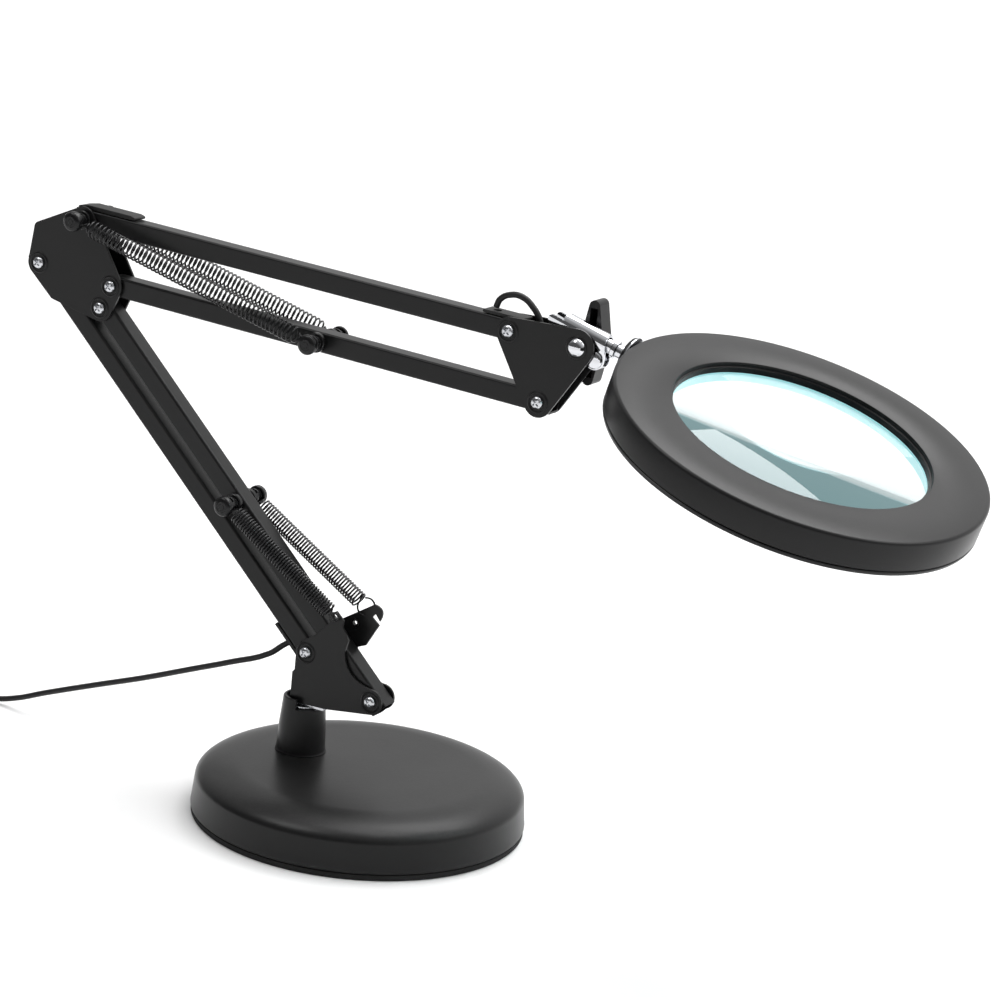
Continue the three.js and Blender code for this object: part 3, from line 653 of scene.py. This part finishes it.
for node in ("lower_cable", "upper_cable"):
    frame["nodes"][node].data.materials.clear()
    frame["nodes"][node].data.materials.append(cord_sheath)


# Head joint: a chromed steel yoke bent over the neck tube, on a bolt with a round polished
# head in front and a black moulded wing nut behind.
refined("bent_yoke", "neck_yoke", polished_chrome, "chrome", 0.00025, turn=50, sharp=50)
tilt_axis = centre_of("tilt_bolt")
bm = bmesh.new()
spun(bm, [
    (0, 0.0095), (0.0015, 0.0094), (0.0029, 0.0089), (0.0039, 0.008), (0.0045, 0.0069), (0.0046, 0.0066),
    (0.0021, 0.0065), (0.0021, -0.0152), (0.0018, -0.0155), (0, -0.0155),
], Matrix.Translation(tilt_axis) @ front, steps=48)
settled(bm, "tilt_bolt_domed", "head_bracket", polished_chrome, "chrome", "tilt_bolt")
clamp_axis = centre_of("yoke_screw")
bm = bmesh.new()
spun(bm, [
    (0, 0.0051), (0.0026, 0.005), (0.0036, 0.0047), (0.004, 0.0043), (0.0041, 0.0037), (0.0018, 0.0036),
    (0.0018, -0.005), (0, -0.005),
], Matrix.Translation(clamp_axis) @ front, steps=48)
settled(bm, "clamp_screw_disc", "neck_yoke", polished_chrome, "chrome", "yoke_screw")
refined("wing_nut_moulded", "wing_nut", black_moulding, "black_plastic", 0.0009, turn=50, sharp=45)


# Lamp head: two black moulded shells that meet at a seam half way up the rim, on a chromed
# neck tube that goes in through a flange. A lens sits in the middle over a ring of lights.
joint = {j["name"]: j for j in frame["joints"]}
neck_axis = Vector(joint["head_twist"]["axis"]).normalized()
neck_up = neck_axis.cross(Vector((0, 1, 0)))
neck_place = Matrix.Translation(joint["head_twist"]["pos_m"]) @ Matrix((
    (neck_axis.x, 0, neck_up.x, 0), (neck_axis.y, 1, neck_up.y, 0),
    (neck_axis.z, 0, neck_up.z, 0), (0, 0, 0, 1),
))
head_lean, disc_at = math.radians(6.1), 0.1125
head_place = neck_place @ Matrix.Rotation(head_lean, 4, "X")
disc_place = head_place @ Matrix.Translation((disc_at, 0, 0))
along_neck = head_place @ Matrix.Rotation(math.pi / 2, 4, "Y")
head_radius, head_top, head_bottom, head_seam = 0.0882, 0.0086, -0.0084, -0.0058
opening = 0.0609
rim_at = disc_at - head_radius

head_gloss = finish_of(
    "black head moulding", (0.005, 0.005, 0.0053), (0.008, 0.008, 0.0084),
    0.32, 0.14, 1800, 0.00002, dust=0.03,
)
bm = bmesh.new()
spun(bm, [
    (0.0019, -0.006), (0.0031, -0.006), (0.0033, -0.0057), (0.0033, 0.0143), (0.004, 0.0144),
    (0.0044, 0.0148), (0.0044, 0.0166), (0.004, 0.017), (0.0033, 0.0171), (0.0033, rim_at + 0.005),
    (0.0019, rim_at + 0.005),
], along_neck, steps=40)
settled(bm, "neck_tube", "head", polished_chrome, "chrome", "neck_stem")
bm = bmesh.new()
spun(bm, [
    (0.0034, rim_at - 0.0029), (0.0084, rim_at - 0.0029), (0.0092, rim_at - 0.0025),
    (0.0096, rim_at - 0.0018), (0.0097, rim_at - 0.0011), (0.0034, rim_at - 0.0011),
], along_neck, steps=64)
settled(bm, "neck_cup", "head", head_gloss, "black_plastic", "neck_flange")
bm = bmesh.new()
spun(bm, [
    (0.0036, rim_at - 0.0011), (0.0097, rim_at - 0.0011), (0.0099, rim_at - 0.0009),
    (0.0099, rim_at - 0.0004), (0.0097, rim_at - 0.0003), (0.0036, rim_at - 0.0003),
], along_neck, steps=64)
settled(bm, "neck_washer", "head", polished_chrome, "chrome")

bm = bmesh.new()
spun(bm, [
    (head_radius - 0.0004, head_seam), (head_radius, head_seam + 0.0004), (head_radius, head_top - 0.0016),
    (head_radius - 0.0003, head_top - 0.0008), (head_radius - 0.0009, head_top - 0.0002),
    (head_radius - 0.0016, head_top), (opening + 0.0006, head_top), (opening + 0.0002, head_top - 0.0002),
    (opening, head_top - 0.0006), (opening, head_top - 0.002), (opening - 0.0007, head_top - 0.0021),
    (opening - 0.0009, head_top - 0.0023), (opening - 0.0009, 0.0036), (opening - 0.0007, 0.0035),
    (0.0621, 0.0035), (0.0621, -0.0003), (0.0638, -0.0003), (0.0638, head_top - 0.002),
    (head_radius - 0.002, head_top - 0.002), (head_radius - 0.002, head_seam),
], disc_place, steps=192)
upper_shell = settled(bm, "head_upper_shell", "head", head_gloss, "black_plastic", "head_top")
# Painted glow: a pale teal colour with emission stands in for the lit diffuser seen through the lens. It is
# put on black plastic: the shell's lip under the lens and the lens retainer.
painted_glow_ring = finish_of("pale ring with painted glow", (0.5, 0.72, 0.73), (0.44, 0.66, 0.68), 0.35, 0.1, 900, 0.00001)
glow = painted_glow_ring.node_tree.nodes["Principled BSDF"].inputs
glow["Emission Color"].default_value = (0.36, 0.62, 0.65, 1)
glow["Emission Strength"].default_value = 0.55
upper_shell.data.materials.append(painted_glow_ring)
to_disc = disc_place.inverted()
# The shell faces under the lens rim get the painted glow.
for face in upper_shell.data.polygons:
    spot = to_disc @ face.center
    if spot.z < 0.0036 and math.hypot(spot.x, spot.y) < 0.0639:
        face.material_index = 1
bm = bmesh.new()
seam_low = head_seam - 0.0003
spun(bm, [
    (head_radius - 0.0003, seam_low), (head_radius, seam_low - 0.0003), (head_radius, head_bottom + 0.0014),
    (head_radius - 0.0004, head_bottom + 0.0005), (head_radius - 0.0014, head_bottom),
    (0.0838, head_bottom), (0.0835, head_bottom + 0.0003), (0.0835, head_bottom + 0.0015),
    (head_radius - 0.002, head_bottom + 0.0015), (head_radius - 0.002, seam_low),
], disc_place, steps=192)
settled(bm, "head_lower_shell", "head", head_gloss, "black_plastic", "head_bottom")
bm = bmesh.new()
spun(bm, [
    (0.06, 0.0003), (0.0618, 0.0003), (0.0618, -0.0006), (0.0638, -0.0006), (0.0638, head_bottom + 0.0015),
    (0.0662, head_bottom + 0.0015), (0.0665, head_bottom + 0.0012), (0.0665, head_bottom + 0.0003),
    (0.0662, head_bottom), (0.0603, head_bottom), (0.06, head_bottom + 0.0003),
], disc_place, steps=160)
# The lens retainer is black plastic, painted with the pale teal glow.
settled(bm, "lens_retainer", "head", painted_glow_ring, "black_plastic", "lens_ring")

frosted = finish_of(
    "frosted diffuser", (0.78, 0.86, 0.86), (0.72, 0.82, 0.82), 0.5, 0.1, 2600, 0.00004,
)
bm = bmesh.new()
spun(bm, [
    (0.0642, -0.0064), (0.0644, -0.0066), (0.0856, -0.0066), (0.0858, -0.0064), (0.0858, -0.0054),
    (0.0856, -0.0052), (0.0644, -0.0052), (0.0642, -0.0054),
], disc_place, steps=128)
settled(bm, "diffuser_ring", "head", frosted, "diffuser_white", "led_diffuser")
white_board = finish_of("white board", (0.85, 0.86, 0.84), (0.8, 0.81, 0.79), 0.45, 0.1, 900, 0.00002)
frame["nodes"]["led_board"].data.materials.clear()
frame["nodes"]["led_board"].data.materials.append(white_board)
phosphor = finish_of("yellow light chips", (0.85, 0.72, 0.25), (0.8, 0.68, 0.3), 0.4, 0.1, 900, 0.00002)
chip_count, chip_size = 48, (0.0035, 0.0028, 0.0008)
chip_spot = Matrix.Translation((0.075, 0, 0.0042))
bm = bmesh.new()
for i in range(chip_count):
    chip = bmesh.ops.create_cube(bm, size=1)["verts"]
    stand = disc_place @ Matrix.Rotation(2 * math.pi * i / chip_count, 4, "Z") @ chip_spot
    bmesh.ops.transform(bm, matrix=stand @ Matrix.Diagonal((*chip_size, 1)), verts=chip)
settled(bm, "light_chips", "head", phosphor, "board_white")

lens_radius, lens_top, lens_foot, lens_bulge = 0.0618, 0.0032, 0.0006, 0.0042
lens_steps = 40
lens_profile = []
for i in range(lens_steps + 1):
    across = i / lens_steps
    lens_profile.append((lens_radius * across, lens_top + lens_bulge * (1 - across ** 2)))
for i in range(lens_steps, -1, -1):
    across = i / lens_steps
    lens_profile.append((lens_radius * across, lens_foot - lens_bulge * (1 - across ** 2)))
clear = bpy.data.materials.new("lens glass with painted glow")
clear.use_nodes = True
nodes, links = clear.node_tree.nodes, clear.node_tree.links
shader = nodes["Principled BSDF"]
shader.inputs["Base Color"].default_value = (0.93, 0.975, 0.975, 1)
shader.inputs["Transmission Weight"].default_value = 1
shader.inputs["IOR"].default_value = 1.5
dust_map = nodes.new("ShaderNodeTexNoise")
dust_map.inputs["Scale"].default_value = 90
dust_map.inputs["Detail"].default_value = 8
coords = nodes.new("ShaderNodeTexCoord")
spread = nodes.new("ShaderNodeMapRange")
spread.inputs["From Min"].default_value = 0.55
spread.inputs["From Max"].default_value = 0.8
spread.inputs["To Min"].default_value = 0.0
spread.inputs["To Max"].default_value = 0.06
links.new(coords.outputs["Object"], dust_map.inputs["Vector"])
links.new(dust_map.outputs["Fac"], spread.inputs["Value"])
links.new(spread.outputs["Result"], shader.inputs["Roughness"])
# Painted glow: a faint teal emission at each glass surface stands in for light from the ring refracted and
# reflected in the lens. It adds up where rays bounce inside the glass many times.
shader.inputs["Emission Color"].default_value = (0.5, 0.95, 1, 1)
shader.inputs["Emission Strength"].default_value = 0.04
bm = bmesh.new()
spun(bm, lens_profile, disc_place, steps=160)
settled(bm, "lens_glass", "head", clear, "lens_glass", "lens", sharp=30)


# Studio: a pale floor under soft light, brightest above and behind the lamp on its right, so
# that the tops of the tubes and of the base shine and their fronts stay dark.
floor_mesh = bpy.data.meshes.new("floor")
bm = bmesh.new()
bmesh.ops.create_grid(bm, x_segments=1, y_segments=1, size=8)
bm.to_mesh(floor_mesh)
bm.free()
floor = bpy.data.objects.new("floor", floor_mesh)
bpy.context.scene.collection.objects.link(floor)
floor_look = bpy.data.materials.new("pale floor")
floor_look.use_nodes = True
floor_shader = floor_look.node_tree.nodes["Principled BSDF"]
floor_shader.inputs["Base Color"].default_value = (0.9, 0.9, 0.9, 1)
floor_shader.inputs["Roughness"].default_value = 0.8
floor_shader.inputs["Specular IOR Level"].default_value = 0.2
floor_shader.inputs["Emission Color"].default_value = (1, 1, 1, 1)
nodes, links = floor_look.node_tree.nodes, floor_look.node_tree.links
floor_place = nodes.new("ShaderNodeTexCoord")
distance = nodes.new("ShaderNodeVectorMath")
distance.operation = "LENGTH"
links.new(floor_place.outputs["Object"], distance.inputs[0])
backdrop = nodes.new("ShaderNodeMapRange")
backdrop.inputs["From Min"].default_value = 1.2
backdrop.inputs["From Max"].default_value = 3.0
backdrop.inputs["To Min"].default_value = 0
backdrop.inputs["To Max"].default_value = 0.55
links.new(distance.outputs["Value"], backdrop.inputs["Value"])
links.new(backdrop.outputs["Result"], floor_shader.inputs["Emission Strength"])
floor_mesh.materials.append(floor_look)

world = bpy.data.worlds.new("studio")
world.use_nodes = True
sky, sky_links = world.node_tree.nodes, world.node_tree.links
direction = sky.new("ShaderNodeTexCoord")
towards = sky.new("ShaderNodeVectorMath")
towards.operation = "DOT_PRODUCT"
towards.inputs[1].default_value = Vector((0.25, 0.7, 0.66)).normalized()
sky_links.new(direction.outputs["Generated"], towards.inputs[0])
brightness = sky.new("ShaderNodeMapRange")
brightness.inputs["From Min"].default_value = -0.25
brightness.inputs["From Max"].default_value = 0.9
brightness.inputs["To Min"].default_value = 0.1
brightness.inputs["To Max"].default_value = 1.0
sky_links.new(towards.outputs["Value"], brightness.inputs["Value"])
sky_links.new(brightness.outputs["Result"], sky["Background"].inputs["Strength"])
sky["Background"].inputs["Color"].default_value = (1, 1, 1, 1)
bpy.context.scene.world = world
bpy.context.scene.view_settings.view_transform = "Standard"
lights = (
    ("key", (-0.9, -0.9, 2.3), 1.0, 14),
    ("side", (1.6, 0.5, 1.6), 1.0, 7),
    ("top", (0.3, 0.8, 2.3), 1.8, 50),
)
for name, place, size, power in lights:
    light_data = bpy.data.lights.new(name, "AREA")
    light_data.size = size
    light_data.energy = power
    light = bpy.data.objects.new(name, light_data)
    light.location = place
    light.rotation_euler = (Vector((0, 0, 0.15)) - Vector(place)).to_track_quat("-Z", "Y").to_euler()
    bpy.context.scene.collection.objects.link(light)
